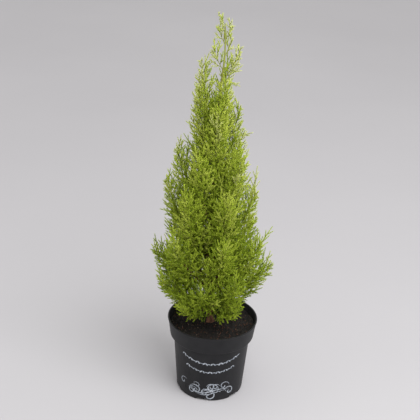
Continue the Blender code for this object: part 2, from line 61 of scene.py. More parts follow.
# The nursery pot is thin blow-moulded plastic, nearly black and a little dusty. Its tall collar steps
# out over the printed body, and drain channels cross its foot. It is one moulding, turned round its axis.
pot_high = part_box("pot")[1]
pot_height = pot_high.z
rim_radius = pot_high.x
body_height = 0.081
base_radius = 0.045
body_top_radius = 0.0512
collar_foot_radius = 0.0562
pot_wall = 0.0015
pot_floor = 0.0048
foot_bevel = 0.0012
ledge_step = 0.0006
collar_ease = 0.0008
collar_foot_rise = 0.0010
lip_height = 0.0015
lip_step = 0.0006
under_lip = 0.0020
rim_wall = 0.0019
inner_ledge_drop = 0.0004
corner_round = 0.0007
corner_steps = 3
turned_sides = 160


def turned_rings(profile, sides):
    """Points and faces of a profile of (radius, height) turned round the axis, closed at both ends."""
    turns = np.linspace(0.0, math.tau, sides, endpoint=False)
    points = [np.array([[0.0, 0.0, profile[0][1]]])]
    for radius, height in profile[1:-1]:
        ring = [radius * np.cos(turns), radius * np.sin(turns), np.full(sides, height)]
        points.append(np.stack(ring, axis=1))
    points.append(np.array([[0.0, 0.0, profile[-1][1]]]))
    faces = []
    rings = len(profile) - 2
    last = 1 + (rings - 1) * sides
    for side in range(sides):
        after = (side + 1) % sides
        faces.append((0, 1 + after, 1 + side))
        for ring in range(rings - 1):
            low = 1 + ring * sides
            faces.append((low + side, low + after, low + sides + after, low + sides + side))
        faces.append((last + side, last + after, last + sides))
    return np.concatenate(points), faces


def piece(name, points, faces, material, slot, nodes=(), smooth=True):
    """One piece of the plant, riding on its only body."""
    mesh = bpy.data.meshes.new(name)
    mesh.from_pydata([tuple(point) for point in points], [], faces)
    thing = bpy.data.objects.new(name, mesh)
    bpy.context.scene.collection.objects.link(thing)
    mesh.materials.append(material)
    if smooth:
        mesh.shade_smooth()
        mesh.set_sharp_from_angle(angle=math.radians(38))
    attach(thing, "root")
    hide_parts(*nodes)
    return thing


def rounded(corners, radius, steps):
    """A profile whose inner corners are rounded off."""
    line = [corners[0]]
    for before, corner, after in zip(corners, corners[1:], corners[2:]):
        corner = np.array(corner)
        back = np.array(before) - corner
        on = np.array(after) - corner
        cut = min(radius, 0.4 * np.linalg.norm(back), 0.4 * np.linalg.norm(on))
        start = corner + cut * back / np.linalg.norm(back)
        end = corner + cut * on / np.linalg.norm(on)
        for step in range(steps + 1):
            t = step / steps
            line.append(tuple((1 - t) ** 2 * start + 2 * t * (1 - t) * corner + t**2 * end))
    return line + [corners[-1]]


def shader_of(material):
    return material.node_tree.nodes["Principled BSDF"]


def new_material(name, roughness):
    material = bpy.data.materials.new(name)
    material.use_nodes = True
    shader_of(material).inputs["Roughness"].default_value = roughness
    return material


def mottled(material, scale, dark, light, stretch=(1.0, 1.0, 1.0), low=0.35, high=0.65):
    """Uneven colour from noise in the piece's own space, from dark to light."""
    nodes = material.node_tree.nodes
    links = material.node_tree.links
    place = nodes.new("ShaderNodeTexCoord")
    spread = nodes.new("ShaderNodeMapping")
    spread.inputs["Scale"].default_value = stretch
    noise = nodes.new("ShaderNodeTexNoise")
    noise.inputs["Scale"].default_value = scale
    noise.inputs["Detail"].default_value = 6.0
    ramp = nodes.new("ShaderNodeValToRGB")
    ramp.color_ramp.elements[0].position = low
    ramp.color_ramp.elements[1].position = high
    ramp.color_ramp.elements[0].color = (*dark, 1.0)
    ramp.color_ramp.elements[1].color = (*light, 1.0)
    links.new(place.outputs["Object"], spread.inputs["Vector"])
    links.new(spread.outputs["Vector"], noise.inputs["Vector"])
    links.new(noise.outputs["Fac"], ramp.inputs["Fac"])
    links.new(ramp.outputs["Color"], shader_of(material).inputs["Base Color"])


def grain(material, scale, strength, distance):
    """Fine bumps in the surface."""
    nodes = material.node_tree.nodes
    links = material.node_tree.links
    place = nodes.new("ShaderNodeTexCoord")
    noise = nodes.new("ShaderNodeTexNoise")
    noise.inputs["Scale"].default_value = scale
    noise.inputs["Detail"].default_value = 4.0
    bump = nodes.new("ShaderNodeBump")
    bump.inputs["Strength"].default_value = strength
    bump.inputs["Distance"].default_value = distance
    links.new(place.outputs["Object"], noise.inputs["Vector"])
    links.new(noise.outputs["Fac"], bump.inputs["Height"])
    links.new(bump.outputs["Normal"], shader_of(material).inputs["Normal"])


dusty_plastic = new_material("dusty_black_plastic", 0.52)
shader_of(dusty_plastic).inputs["Specular IOR Level"].default_value = 0.28
mottled(dusty_plastic, 60.0, (0.0080, 0.0080, 0.0092), (0.0150, 0.0150, 0.0168), low=0.3, high=0.7)
grain(dusty_plastic, 900.0, 0.12, 0.0002)

pot_outline = [
    (base_radius - foot_bevel, 0.0),
    (base_radius, foot_bevel),
    (body_top_radius, body_height - ledge_step),
    (collar_foot_radius - collar_ease, body_height),
    (collar_foot_radius, body_height + collar_foot_rise),
    (rim_radius - lip_step, pot_height - under_lip),
    (rim_radius, pot_height - lip_height),
    (rim_radius, pot_height),
    (rim_radius - rim_wall, pot_height),
    (collar_foot_radius - pot_wall, body_height + pot_wall),
    (body_top_radius - pot_wall, body_height + pot_wall - inner_ledge_drop),
    (base_radius - pot_wall, pot_floor),
    (0.0, pot_floor),
]
pot_profile = [(0.0, 0.0)] + rounded(pot_outline, corner_round, corner_steps)
pot = piece("moulded_pot", *turned_rings(pot_profile, turned_sides), dusty_plastic, "pot", ["pot"])

# Six channels lead the water out under the foot, each with a drain hole, and a shallow round
# dimple is pressed into the wall beside each one.
channels = 6
channel_turn = -101.0
dimple_turn = -129.0
channel_width = 0.017
channel_height = 0.0034
channel_inner_end = 0.026
channel_overrun = 0.003
drain_ring = 0.032
drain_radius = 0.0035
drain_depth = 0.006
dimple_height = 0.015
dimple_radius = 0.0055
dimple_depth = 0.0006
dimple_cutter = 0.010


def wall_radius(height):
    return base_radius + (body_top_radius - base_radius) * height / body_height


def cutter(primitive, place, size, turn):
    primitive(location=place, rotation=turn)
    thing = bpy.context.active_object
    thing.scale = size
    return thing


def add_block(location, rotation):
    bpy.ops.mesh.primitive_cube_add(size=1.0, location=location, rotation=rotation)


def add_rod(location, rotation):
    size = {"vertices": 40, "radius": 1.0, "depth": 1.0}
    bpy.ops.mesh.primitive_cylinder_add(location=location, rotation=rotation, **size)


cuts = bpy.data.collections.new("pot_cuts")
bpy.context.scene.collection.children.link(cuts)
cutters = []
for count in range(channels):
    turn = math.radians(channel_turn + 360.0 * count / channels)
    length = base_radius - channel_inner_end + channel_overrun
    middle = channel_inner_end + length / 2
    place = (middle * math.cos(turn), middle * math.sin(turn), 0.0)
    size = (length, channel_width, 2 * channel_height)
    cutters.append(cutter(add_block, place, size, (0.0, 0.0, turn)))
    place = (drain_ring * math.cos(turn), drain_ring * math.sin(turn), pot_floor)
    size = (drain_radius, drain_radius, drain_depth)
    cutters.append(cutter(add_rod, place, size, (0.0, 0.0, turn)))
    turn = math.radians(dimple_turn + 360.0 * count / channels)
    middle = wall_radius(dimple_height) - dimple_depth + 0.5 * dimple_cutter
    place = (middle * math.cos(turn), middle * math.sin(turn), dimple_height)
    size = (dimple_radius, dimple_radius, dimple_cutter)
    cutters.append(cutter(add_rod, place, size, (0.0, math.pi / 2, turn)))
for thing in cutters:
    for old in list(thing.users_collection):
        old.objects.unlink(thing)
    cuts.objects.link(thing)
boolean = pot.modifiers.new("cuts", "BOOLEAN")
boolean.operation = "DIFFERENCE"
boolean.solver = "EXACT"
boolean.operand_type = "COLLECTION"
boolean.collection = cuts
cut_mesh = bpy.data.meshes.new_from_object(pot.evaluated_get(bpy.context.evaluated_depsgraph_get()))
pot.modifiers.clear()
pot.data = cut_mesh
pot.data.shade_smooth()
pot.data.set_sharp_from_angle(angle=math.radians(38))
for thing in cutters:
    bpy.data.objects.remove(thing, do_unlink=True)
bpy.data.collections.remove(cuts)

# The body carries a pale print on its front: two garlands of small leaves and dashes, and under them
# loose scrolls that unroll from a low wave. Each mark is a thin skin of ink on the wall.
ink_lift = 0.00003
ink_depth = 0.00009
ink = new_material("pale_ink", 0.55)
mottled(ink, 420.0, (0.20, 0.23, 0.27), (0.52, 0.56, 0.62), low=0.36, high=0.62)
grain(ink, 1500.0, 0.10, 0.0001)
ink_points = []
ink_faces = []


def on_wall(across, height, lift):
    """A point of the print: across is measured round the wall from its front, in metres."""
    radius = wall_radius(height)
    turn = -math.pi / 2 + across / radius
    return ((radius + lift) * math.cos(turn), (radius + lift) * math.sin(turn), height)


def stroke(line, widths):
    """A band of ink along a line of (across, height) points."""
    first = len(ink_points)
    line = np.array(line)
    along = np.gradient(line, axis=0)
    along /= np.linalg.norm(along, axis=1)[:, None] + 1e-12
    normal = np.stack([-along[:, 1], along[:, 0]], axis=1)
    for middle, aside, width in zip(line, normal, widths):
        for side, lift in ((-1, -ink_lift), (1, -ink_lift), (1, ink_depth), (-1, ink_depth)):
            across, height = middle + side * 0.5 * width * aside
            ink_points.append(on_wall(across, height, lift))
    for step in range(len(line) - 1):
        low = first + 4 * step
        for corner in range(4):
            after = (corner + 1) % 4
            ink_faces.append((low + corner, low + after, low + 4 + after, low + 4 + corner))
    ink_faces.append((first + 3, first + 2, first + 1, first))
    end = first + 4 * (len(line) - 1)
    ink_faces.append((end, end + 1, end + 2, end + 3))


def tapered(count, widest, ends=0.25):
    shares = np.linspace(0.0, 1.0, count)
    return widest * (ends + (1.0 - ends) * np.sin(math.pi * shares))


def scroll(start, heading, first_radius, turns, widest, hand):
    """A line that winds up into a scroll."""
    count = int(28 * turns) + 6
    place = np.array(start, float)
    line = [place.copy()]
    turn = heading
    for step in range(count):
        share = step / count
        radius = first_radius * (1.0 - share) ** 1.3 + 0.0006
        reach = math.tau * turns / count
        turn += hand * reach
        place += radius * reach * np.array((math.cos(turn), math.sin(turn)))
        line.append(place.copy())
    stroke(line, tapered(len(line), widest, 0.35))


def leaf_mark(across, height, tilt, length, width):
    ends = 0.5 * length * np.array((math.cos(tilt), math.sin(tilt)))
    middle = np.array((across, height))
    line = [middle + share * ends for share in np.linspace(-1.0, 1.0, 6)]
    stroke(line, tapered(6, width, 0.12))


def garland(middle_height, sag, half_width, count, size, seed):
    """Small leaves and dashes strung along an arc."""
    rng = random.Random(seed)
    for mark in range(count):
        share = -1.0 + 2.0 * mark / (count - 1)
        across = share * half_width
        height = middle_height + sag * share**2
        slope = math.atan2(2 * sag * share, half_width)
        if mark % 3 == 2:
            leaf_mark(across, height, slope, 1.5 * size, 0.26 * size)
        else:
            lean = 0.9 if mark % 3 == 0 else -0.9
            leaf_mark(across, height, slope + lean, size * rng.uniform(0.9, 1.15), 0.46 * size)


garland(0.0610, 0.0080, 0.0400, 24, 0.0046, 1)
garland(0.0475, 0.0060, 0.0330, 20, 0.0042, 2)

wave_start = -0.030
wave_length = 0.058
wave_level = 0.0150
wave_swing = 0.0035
wave_bow = 0.012
wave = []
for t in np.linspace(0.0, 1.0, 40):
    dip = wave_swing * math.sin(math.tau * t) - wave_bow * (t - 0.5) ** 2
    wave.append((wave_start + wave_length * t, wave_level - dip))
stroke(wave, tapered(40, 0.0017, 0.15))
wave = [(x + 0.004, z - 0.0026) for x, z in wave[6:34]]
stroke(wave, tapered(28, 0.0010, 0.15))
scrolls = (
    ((-0.028, 0.0185), 1.3, 0.0085, 1.35, 0.0015, -1),
    ((-0.016, 0.0160), 1.9, 0.0072, 1.25, 0.0013, 1),
    ((-0.009, 0.0150), 0.9, 0.0100, 1.30, 0.0016, -1),
    ((0.003, 0.0135), 1.7, 0.0078, 1.20, 0.0013, 1),
    ((0.010, 0.0140), 0.8, 0.0092, 1.35, 0.0016, 1),
    ((0.020, 0.0165), 1.2, 0.0076, 1.30, 0.0015, -1),
    ((-0.034, 0.0280), 2.4, 0.0062, 1.10, 0.0012, 1),
    ((0.028, 0.0240), 1.6, 0.0070, 1.20, 0.0013, 1),
    ((-0.004, 0.0240), 1.4, 0.0056, 1.25, 0.0011, -1),
    ((0.014, 0.0250), 1.9, 0.0050, 1.20, 0.0010, 1),
    ((-0.022, 0.0270), 1.0, 0.0046, 1.15, 0.0010, -1),
)
for start, heading, radius, turns, width, hand in scrolls:
    scroll(start, heading, radius, turns, width, hand)
small_marks = 26
rng = random.Random(7)
for count in range(small_marks):
    across = rng.uniform(-0.028, 0.030)
    height = rng.uniform(0.0130, 0.0210)
    tilt = rng.uniform(0.0, math.pi)
    leaf_mark(across, height, tilt, rng.uniform(0.002, 0.005), 0.0006)
piece("pot_print", ink_points, ink_faces, ink, "pot", smooth=False)

# The pot is filled with moist dark mix to a centimetre under its rim: peat with bark crumbs, a few
# of them reddish or pale. The bed is one lumpy body, and the crumbs lie pressed into it.
mix_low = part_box("potting_mix")[0]
mix_top = 0.0965
mix_edge = 0.0562
bed_rings = 60
bed_sides = 160
trunk_spot = (-0.003, 0.002)
level_spot = 0.012
moist_mix = new_material("moist_mix", 0.92)
mottled(moist_mix, 240.0, (0.004, 0.003, 0.0025), (0.016, 0.011, 0.008), low=0.38, high=0.66)
grain(moist_mix, 800.0, 0.8, 0.0012)


def lumps(points, wave_length, seed, terms=40):
    """Soft random hills over a plane, from a sum of waves."""
    noise = np.random.default_rng(seed)
    turns = noise.uniform(0.0, math.tau, terms)
    sizes = noise.uniform(0.6, 1.8, terms) * math.tau / wave_length
    phases = noise.uniform(0.0, math.tau, terms)
    along = np.outer(points[:, 0], np.cos(turns) * sizes) + np.outer(points[:, 1], np.sin(turns) * sizes)
    return np.sin(along + phases).sum(axis=1) / math.sqrt(terms)


def bed_rise(points):
    """How far the lumpy bed stands over its mean height, level close to the trunk."""
    hills = 0.0006 * lumps(points, 0.016, 3) + 0.00045 * lumps(points, 0.005, 4)
    away = np.hypot(points[:, 0] - trunk_spot[0], points[:, 1] - trunk_spot[1])
    return hills * np.clip(away / level_spot - 0.6, 0.0, 1.0)


bed_profile = [(0.0, mix_low.z), (mix_edge - 0.0125, mix_low.z), (0.0490, 0.0815), (0.0540, 0.0832)]
bed_profile += [(radius, mix_top) for radius in np.linspace(mix_edge, 0.0008, bed_rings)]
bed_profile.append((0.0, mix_top))
bed_points, bed_faces = turned_rings(bed_profile, bed_sides)
top = bed_points[:, 2] > mix_top - 0.0001
bed_points[top, 2] += bed_rise(bed_points)[top]
piece("potting_mix_bed", bed_points, bed_faces, moist_mix, "potting_mix", ["potting_mix"])


def joined(name, points, triangles, material, nodes=()):
    """One mesh of many small like things, from arrays of points and triangles."""
    mesh = bpy.data.meshes.new(name)
    mesh.vertices.add(len(points))
    mesh.vertices.foreach_set("co", np.ascontiguousarray(points, np.float32).ravel())
    mesh.loops.add(3 * len(triangles))
    mesh.loops.foreach_set("vertex_index", np.ascontiguousarray(triangles, np.int32).ravel())
    mesh.polygons.add(len(triangles))
    mesh.polygons.foreach_set("loop_start", np.arange(0, 3 * len(triangles), 3, dtype=np.int32))
    mesh.update(calc_edges=True)
    thing = bpy.data.objects.new(name, mesh)
    bpy.context.scene.collection.objects.link(thing)
    mesh.materials.append(material)
    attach(thing, "root")
    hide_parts(*nodes)


crumb_margin = 0.0022
crumb_clear_spot = 0.0095
crumb_corners = np.array([(1, 0, 0), (-1, 0, 0), (0, 1, 0), (0, -1, 0), (0, 0, 1), (0, 0, -1)], float)
crumb_upper = [(0, 2, 4), (2, 1, 4), (1, 3, 4), (3, 0, 4)]
crumb_lower = [(2, 0, 5), (1, 2, 5), (3, 1, 5), (0, 3, 5)]
crumb_faces = np.array(crumb_upper + crumb_lower)
crumb_kinds = (
    ("peat_crumbs", 5200, (0.0004, 0.0015), (0.005, 0.0035, 0.003), (0.014, 0.010, 0.007)),
    ("bark_crumbs", 420, (0.0008, 0.0024), (0.050, 0.020, 0.011), (0.110, 0.045, 0.026)),
    ("pale_crumbs", 90, (0.0006, 0.0015), (0.190, 0.130, 0.085), (0.330, 0.240, 0.170)),
)
for kind, (name, count, sizes, dark, light) in enumerate(crumb_kinds):
    rng = np.random.default_rng(20 + kind)
    crumb_points = []
    crumb_triangles = []
    for crumb in range(count):
        radius = (mix_edge - crumb_margin) * math.sqrt(rng.uniform(0.012, 1.0))
        turn = rng.uniform(0.0, math.tau)
        x = radius * math.cos(turn)
        y = radius * math.sin(turn)
        if math.hypot(x - trunk_spot[0], y - trunk_spot[1]) < crumb_clear_spot:
            continue
        size = sizes[0] + (sizes[1] - sizes[0]) * rng.random() ** 2.2
        shape = crumb_corners * rng.uniform(0.45, 1.0, (6, 1))
        shape *= np.array((1.0, rng.uniform(0.5, 1.0), 0.6))
        spin, _ = np.linalg.qr(rng.normal(size=(3, 3)))
        if np.linalg.det(spin) < 0:
            spin[:, 0] *= -1
        bed = mix_top + bed_rise(np.array([[x, y]]))[0]
        place = np.array((x, y, bed + 0.25 * size))
        crumb_triangles.append(crumb_faces + 6 * len(crumb_points))
        crumb_points.append(size * shape @ spin.T + place)
    crumbs = new_material(name, 0.9)
    mottled(crumbs, 300.0, dark, light, low=0.3, high=0.7)
    joined(name, np.concatenate(crumb_points), np.concatenate(crumb_triangles), crumbs)

# The trunk is one slim woody stem with a thin reddish-brown bark that peels in fine upright flakes.
# It flares at the foot, leans a little, and turns yellow-green and thin where it becomes the leader.
ground = 0.0968
trunk_line = (
    (ground, -0.0030, 0.0020),
    (0.200, -0.0055, 0.0035),
    (0.300, -0.0070, 0.0020),
    (0.380, -0.0058, -0.0010),
    (0.430, -0.0032, 0.0000),
    (0.465, -0.0009, 0.0005),
    (0.499, -0.0019, 0.0000),
)
trunk_foot_radius = 0.0042
trunk_tip_radius = 0.0006
flare_spread = 0.0024
flare_height = 0.007
flare_lobes = 5
green_start = 0.345
green_end = 0.455
trunk_rings = 220
trunk_sides = 48


def unit(vector):
    return vector / np.linalg.norm(vector)


def smooth_read(table, height):
    """A smooth curve through the table's rows, read at a height."""
    rows = np.array(table)
    slopes = np.gradient(rows[:, 1:], rows[:, 0], axis=0)
    step = int(np.clip(np.searchsorted(rows[:, 0], height) - 1, 0, len(rows) - 2))
    span = rows[step + 1, 0] - rows[step, 0]
    t = float(np.clip((height - rows[step, 0]) / span, 0.0, 1.0))
    near = (2 * t**3 - 3 * t**2 + 1) * rows[step, 1:] + (t**3 - 2 * t**2 + t) * span * slopes[step]
    far = (3 * t**2 - 2 * t**3) * rows[step + 1, 1:] + (t**3 - t**2) * span * slopes[step + 1]
    return near + far


def trunk_middle(height):
    x, y = smooth_read(trunk_line, height)
    return np.array((x, y, height))


def trunk_radius(height):
    top = trunk_line[-1][0]
    share = np.clip((top - height) / (top - ground), 0.0, 1.0)
    flare = flare_spread * math.exp(-(height - ground) / flare_height)
    return trunk_tip_radius + (trunk_foot_radius - trunk_tip_radius) * share**0.85 + flare


def tube(line, radii, side, sides, relief):
    """A closed round limb with a relief of its own, as points and faces."""
    line = np.array(line)
    tangents = np.gradient(line, axis=0)
    turns = np.linspace(0.0, math.tau, sides, endpoint=False)
    points = []
    for ring, (middle, tangent) in enumerate(zip(line, tangents)):
        along = unit(tangent)
        across = unit(side - along * np.dot(side, along))
        up = np.cross(along, across)
        swell = radii[ring] * relief(turns, ring / (len(line) - 1), middle[2])
        round_it = np.cos(turns)[:, None] * across + np.sin(turns)[:, None] * up
        points.append(middle + swell[:, None] * round_it)
    faces = [tuple(reversed(range(sides)))]
    for ring in range(len(line) - 1):
        low = ring * sides
        for count in range(sides):
            after = (count + 1) % sides
            faces.append((low + count, low + after, low + sides + after, low + sides + count))
    faces.append(tuple(range((len(line) - 1) * sides, len(line) * sides)))
    return np.concatenate(points), faces


def bark_relief(seed, lobes=0.0):
    """Fine ridges up the bark that wander round it, and root lobes that fade above the foot."""
    noise = np.random.default_rng(seed)
    counts = noise.integers(4, 17, 14)
    phases = noise.uniform(0.0, math.tau, 14)
    rises = noise.uniform(60.0, 420.0, 14) * noise.choice((-1.0, 1.0), 14)

    def relief(turns, share, height):
        waves = np.sin(np.outer(turns, counts) + phases + rises * height).sum(axis=1) / 14**0.5
        fade = 0.22 * lobes * math.exp(-(height - ground) / flare_height)
        foot = 1.0 - fade * (0.5 - 0.5 * np.cos(flare_lobes * turns))
        return foot * (1.0 + 0.045 * waves * (1.0 - 0.8 * share) - 0.03)

    return relief


bark = new_material("reddish_bark", 0.8)
mottled(bark, 170.0, (0.060, 0.024, 0.014), (0.270, 0.125, 0.068), (1.0, 1.0, 0.18))
grain(bark, 900.0, 0.6, 0.0004)


def greened(material, start, end, colour):
    """The bark's colour gives way to a young stem's green between two heights."""
    nodes = material.node_tree.nodes
    links = material.node_tree.links
    place = nodes.new("ShaderNodeTexCoord")
    split = nodes.new("ShaderNodeSeparateXYZ")
    share = nodes.new("ShaderNodeMapRange")
    share.inputs["From Min"].default_value = start
    share.inputs["From Max"].default_value = end
    mix = nodes.new("ShaderNodeMix")
    mix.data_type = "RGBA"
    mix.inputs["B"].default_value = (*colour, 1.0)
    socket = shader_of(material).inputs["Base Color"]
    links.new(socket.links[0].from_socket, mix.inputs["A"])
    links.new(place.outputs["Object"], split.inputs["Vector"])
    links.new(split.outputs["Z"], share.inputs["Value"])
    links.new(share.outputs["Result"], mix.inputs["Factor"])
    links.new(mix.outputs["Result"], socket)


greened(bark, green_start, green_end, (0.300, 0.330, 0.060))
heights = ground + (trunk_line[-1][0] - ground) * np.linspace(0.0, 1.0, trunk_rings) ** 1.25
trunk_points = tube(
    [trunk_middle(height) for height in heights],
    [trunk_radius(height) for height in heights],
    np.array((1.0, 0.0, 0.0)), trunk_sides, bark_relief(5, 1.0))
piece("trunk_bark", *trunk_points, bark, "bark", ["trunk"])

# Each plume of the crown grows on one curved stem that leaves the trunk, climbs and ends at the crown's
# edge. The stems stand in tiers from the ground up, and some of them reach out to tips of their own.
crown_reach = (
    (0.105, 0.040),
    (0.128, 0.055),
    (0.150, 0.068),
    (0.180, 0.073),
    (0.225, 0.071),
    (0.260, 0.062),
    (0.310, 0.054),
    (0.350, 0.045),
    (0.390, 0.031),
    (0.420, 0.026),
    (0.450, 0.018),
    (0.520, 0.006),
)
crown_middle = ((0.105, -0.003, 0.0), (0.180, -0.009, 0.0), (0.380, -0.009, 0.0), (0.520, -0.002, 0.0))
tiers = (
    ("skirt", 5, 20.0, 0.111, 0.142, 0.00, 0.62, 0.85),
    ("low", 7, 0.0, 0.121, 0.180, 0.24, 0.50, 1.00),
    ("belly", 7, 26.0, 0.144, 0.235, 0.26, 0.42, 1.00),
    ("waist", 6, 0.0, 0.184, 0.292, 0.00, 0.38, 0.95),
    ("breast", 5, 36.0, 0.228, 0.346, 0.00, 0.36, 0.95),
    ("shoulder", 4, 10.0, 0.278, 0.398, 0.00, 0.36, 0.80),
    ("neck", 3, 60.0, 0.335, 0.440, 0.00, 0.36, 0.70),
)
azimuth_play = 7.0
height_play = 0.006
reach_play = 0.06
top_shoots = (
    (0.431, 0.0173, 0.0020, 0.4715),
    (0.446, -0.0160, -0.0030, 0.4775),
    (0.463, 0.0070, 0.0040, 0.4850),
    (0.477, -0.0105, 0.0020, 0.4990),
    (0.484, 0.0066, -0.0020, 0.5005),
)
leader_line = ((-0.0019, 0.0, 0.4993), (-0.0046, 0.0, 0.5070), (-0.0112, 0.0, 0.5150))
standing_out = (
    (-0.0283, 0.003, 0.4566),
    (-0.0294, -0.004, 0.4207),
    (-0.0349, 0.004, 0.4066),
    (-0.0438, -0.003, 0.3806),
    (-0.0545, 0.004, 0.3447),
    (-0.0672, -0.004, 0.3025),
    (-0.0739, 0.006, 0.2578),
    (-0.0807, -0.006, 0.2044),
    (0.0186, 0.003, 0.4267),
    (0.0371, -0.004, 0.3702),
    (0.0468, 0.004, 0.3230),
    (0.0704, -0.004, 0.2439),
    (0.0733, 0.006, 0.1830),
    (-0.0435, 0.012, 0.1080),
    (-0.0110, -0.020, 0.1085),
    (0.0150, -0.016, 0.1085),
    (0.0370, -0.004, 0.1080),
)
aim_range = 0.026
elbow_pull = 0.4
elbow_share = 0.58
top_rise = 0.40
top_size = 0.42
leader_size = 0.35
seed = 41


def reach_along(line):
    """How far along a line each of its points lies."""
    steps = np.linalg.norm(np.diff(line, axis=0), axis=1)
    return np.concatenate(([0.0], np.cumsum(steps)))


def places_on(line, reach, places):
    return np.stack([np.interp(places, reach, line[:, axis]) for axis in range(3)], axis=-1)


class Stem:
    """A curved line from the trunk to a mass's tip, with its sideways direction."""

    def __init__(self, name, root, elbow, tip, bough_share, size):
        self.name = name
        self.root = np.array(root)
        self.elbow = np.array(elbow)
        self.tip = np.array(tip)
        self.bough_share = bough_share
        self.size = size

    def settle(self):
        t = np.linspace(0.0, 1.0, 25)[:, None]
        self.line = (1 - t) ** 2 * self.root + 2 * t * (1 - t) * self.elbow + t**2 * self.tip
        self.reach = reach_along(self.line)
        self.length = self.reach[-1]
        out = self.tip - self.root
        self.side = unit(np.array((-out[1], out[0], 0.0)))

    def at(self, distance):
        return places_on(self.line, self.reach, distance)

    def heading(self, distance):
        step = self.length / 50
        return unit(self.at(min(distance + step, self.length)) - self.at(max(distance - step, 0.0)))


def elbow_between(root, tip, rise):
    return np.array((
        root[0] + elbow_share * (tip[0] - root[0]),
        root[1] + elbow_share * (tip[1] - root[1]),
        root[2] + rise * (tip[2] - root[2]),
    ))


stems = []
for tier, (name, count, first, root_height, tip_height, bough_share, rise, size) in enumerate(tiers):
    for number in range(count):
        rng = random.Random(seed * 1000 + tier * 100 + number)
        azimuth = first + 360.0 * number / count + rng.uniform(-azimuth_play, azimuth_play)
        height = tip_height + rng.uniform(-height_play, height_play)
        share = 1.0 + rng.uniform(-reach_play, reach_play)
        root = trunk_middle(root_height + rng.uniform(-0.3, 0.3) * height_play)
        reach = smooth_read(crown_reach, height)[0] * share
        x, y = smooth_read(crown_middle, height)
        turn = math.radians(azimuth)
        tip = np.array((x + reach * math.cos(turn), y + reach * math.sin(turn), height))
        elbow = elbow_between(root, tip, rise)
        stems.append(Stem(f"{name}_{number + 1}", root, elbow, tip, bough_share, size))
free = list(stems)
lone_tips = []
for place in standing_out:
    target = np.array(place)
    nearest = min(free, key=lambda stem: np.linalg.norm(stem.tip - target))
    if np.linalg.norm(nearest.tip - target) < aim_range:
        nearest.elbow += elbow_pull * (target - nearest.tip)
        nearest.tip = target
        free.remove(nearest)
    else:
        lone_tips.append(target)
for number, (root_height, x, y, z) in enumerate(top_shoots):
    root = trunk_middle(root_height)
    tip = np.array((x, y, z))
    elbow = elbow_between(root, tip, top_rise)
    stems.append(Stem(f"top_{number + 1}", root, elbow, tip, 0.0, top_size))
stems.append(Stem("leader", *leader_line, 0.0, leader_size))
for stem in stems:
    stem.settle()

# The boughs are the inner, woody part of each stem, thin and round, with the same bark as the trunk.
# Those of the two wide lower tiers are the stoutest. All of them start inside the trunk.
bough_radius = 0.0019
shoot_base_radius = 0.0013
thinned_to = 0.55
woody_share = 0.62
green_woody_share = 0.50
bough_rings = 26
bough_sides = 14
bough_points = []
bough_faces = []
for number, stem in enumerate(stems):
    if stem.name == "leader":
        continue
    woody = stem.length * (woody_share if stem.bough_share else green_woody_share)
    thick = bough_radius if stem.bough_share else shoot_base_radius * stem.size
    start = 0.6 * trunk_radius(stem.root[2])
    line = [stem.at(distance) for distance in np.linspace(start, woody, bough_rings)]
    radii = np.linspace(thick, thinned_to * thick, bough_rings)
    points, faces = tube(line, radii, stem.side, bough_sides, bark_relief(60 + number))
    offset = sum(len(block) for block in bough_points)
    bough_points.append(points)
    bough_faces += [tuple(offset + corner for corner in face) for face in faces]
bough_nodes = ["bough_" + stem.name for stem in stems if stem.bough_share]
piece("bough_bark", np.concatenate(bough_points), bough_faces, bark, "bark", bough_nodes)

# The foliage is fine plumes of soft awl-shaped needles. Slim shoots leave each stem all round it, climb
# a little and carry shorter twigs, and the needles stand round shoots and twigs and point to their tips.
shoot_spacing = 0.0025
shoot_angle = math.radians(38.0)
shoot_turn = math.radians(137.5)
shoot_short = 0.017
shoot_long = 0.046
shoot_lift = 0.75
twig_spacing = 0.0042
twig_angle = math.radians(34.0)
twig_longest = 0.015
needle_spacing = 0.00072
needle_angle = math.radians(33.0)
needle_length = 0.0037
needle_width = 0.00105
needle_depth = 0.00030
shoot_radius = 0.00050
twig_radius = 0.6 * shoot_radius
crown_play = 0.001
crown_least = 0.97
shortened = 0.78
box_margin = 0.004
trunk_clearance = 0.004
bare_share = 0.10
bare_bough_share = 0.72
twig_foot = 0.0030
# The needles' greens are paler high up and out at the crown's edge and deeper low and inside it. This is
# painted light from above and painted shade inside the crown, together with the plant's own paler lime
# tips.
least_brightness = 0.06
painted_light_up = 0.46
tips_and_painted_light_out = 0.38
brightness_play = 0.10
rim_inside = 0.0585
hang_over_mix = 0.0990
hang_over_rim = 0.0015
top_spacing = 1.25
twigged_share = 0.78
twig_growth = 0.42
twig_lift = 0.20
bare_stem_share = 0.35
bare_shoot_share = 0.12
needle_turn = 2.399
greens = (
    ("deep", (0.150, 0.235, 0.012)),
    ("dark", (0.270, 0.385, 0.019)),
    ("middle", (0.400, 0.535, 0.028)),
    ("fresh", (0.530, 0.670, 0.050)),
    ("lime", (0.690, 0.800, 0.110)),
    ("pale", (0.800, 0.870, 0.260)),
)
upward = np.array((0.0, 0.0, 1.0))


def least_height(points):
    """How low the foliage may hang: over the mix inside the pot, over the rim outside it."""
    over_mix = np.hypot(points[:, 0], points[:, 1]) < rim_inside
    return np.where(over_mix, hang_over_mix, pot_height + hang_over_rim)


def across_of(along):
    """Two directions square to each of many directions."""
    helper = np.where(np.abs(along[:, 2:3]) < 0.9, upward, np.array((1.0, 0.0, 0.0)))
    first = np.cross(along, helper)
    first /= np.linalg.norm(first, axis=1)[:, None]
    return first, np.cross(along, first)


def curved(base, heading, length, lift, count):
    """A shoot that leaves along its heading and bends upward."""
    t = np.linspace(0.0, 1.0, count)[:, None]
    elbow = base + 0.5 * length * heading
    end = elbow + 0.5 * length * unit(heading + lift * upward)
    return (1 - t) ** 2 * base + 2 * t * (1 - t) * elbow + t**2 * end


